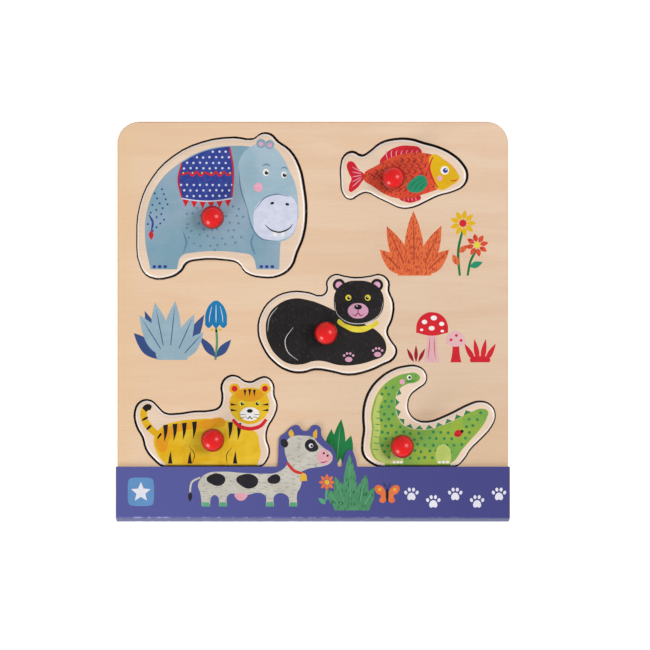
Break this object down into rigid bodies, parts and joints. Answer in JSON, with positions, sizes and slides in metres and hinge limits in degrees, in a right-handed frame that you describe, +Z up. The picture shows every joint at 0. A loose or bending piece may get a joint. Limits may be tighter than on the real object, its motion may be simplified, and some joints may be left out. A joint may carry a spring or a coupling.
{
  "type": "wooden peg puzzle",
  "caption": "Square wooden peg puzzle: plywood board with animal-shaped lift-out inserts, each with a red ball knob, and a folded card sleeve over the lower edge.",
  "frame": {"origin": "under the middle of the whole puzzle, on the surface it rests on; the board's middle is 3.3 mm along +Y and its underside 0.8 mm up", "axes": "+Z up out of the board's face, +Y towards the board's top edge, +X to the right as the picture is seen"},
  "size_m": [0.252, 0.2566, 0.0231],
  "materials": {
    "pale_plywood": "pale plywood face, sanded, thin matt varnish",
    "backing_plywood": "bare plywood",
    "insert_plywood": "plywood with a printed face, satin varnish",
    "dowel_birch": "bare turned birch",
    "red_lacquer": "turned wood in gloss red lacquer",
    "violet_card": "printed card, satin"
  },
  "bodies": {
    "board": {"base_board": "backing_plywood", "frame_board": "pale_plywood"},
    "hippo_piece": {"hippo_insert": "insert_plywood", "hippo_knob": "red_lacquer", "hippo_dowel": "dowel_birch"},
    "fish_piece": {"fish_insert": "insert_plywood", "fish_knob": "red_lacquer", "fish_dowel": "dowel_birch"},
    "bear_piece": {"bear_insert": "insert_plywood", "bear_knob": "red_lacquer", "bear_dowel": "dowel_birch"},
    "tiger_piece": {"tiger_insert": "insert_plywood", "tiger_knob": "red_lacquer", "tiger_dowel": "dowel_birch"},
    "dinosaur_piece": {"dinosaur_insert": "insert_plywood", "dinosaur_knob": "red_lacquer", "dinosaur_dowel": "dowel_birch"},
    "sleeve": {"card_sleeve": "violet_card"}
  },
  "joints": [
    {"name": "hippo_lift", "type": "slide", "parent": "board", "child": "hippo_piece", "axis": [0, 0, 1], "range_m": [0, 0.03]},
    {"name": "fish_lift", "type": "slide", "parent": "board", "child": "fish_piece", "axis": [0, 0, 1], "range_m": [0, 0.03]},
    {"name": "bear_lift", "type": "slide", "parent": "board", "child": "bear_piece", "axis": [0, 0, 1], "range_m": [0, 0.03]},
    {"name": "tiger_lift", "type": "slide", "parent": "board", "child": "tiger_piece", "axis": [0, 0, 1], "range_m": [0, 0.03]},
    {"name": "dinosaur_lift", "type": "slide", "parent": "board", "child": "dinosaur_piece", "axis": [0, 0, 1], "range_m": [0, 0.03]},
    {"name": "sleeve_pull", "type": "slide", "parent": "board", "child": "sleeve", "axis": [0, -1, 0], "range_m": [0, 0.06]}
  ]
}
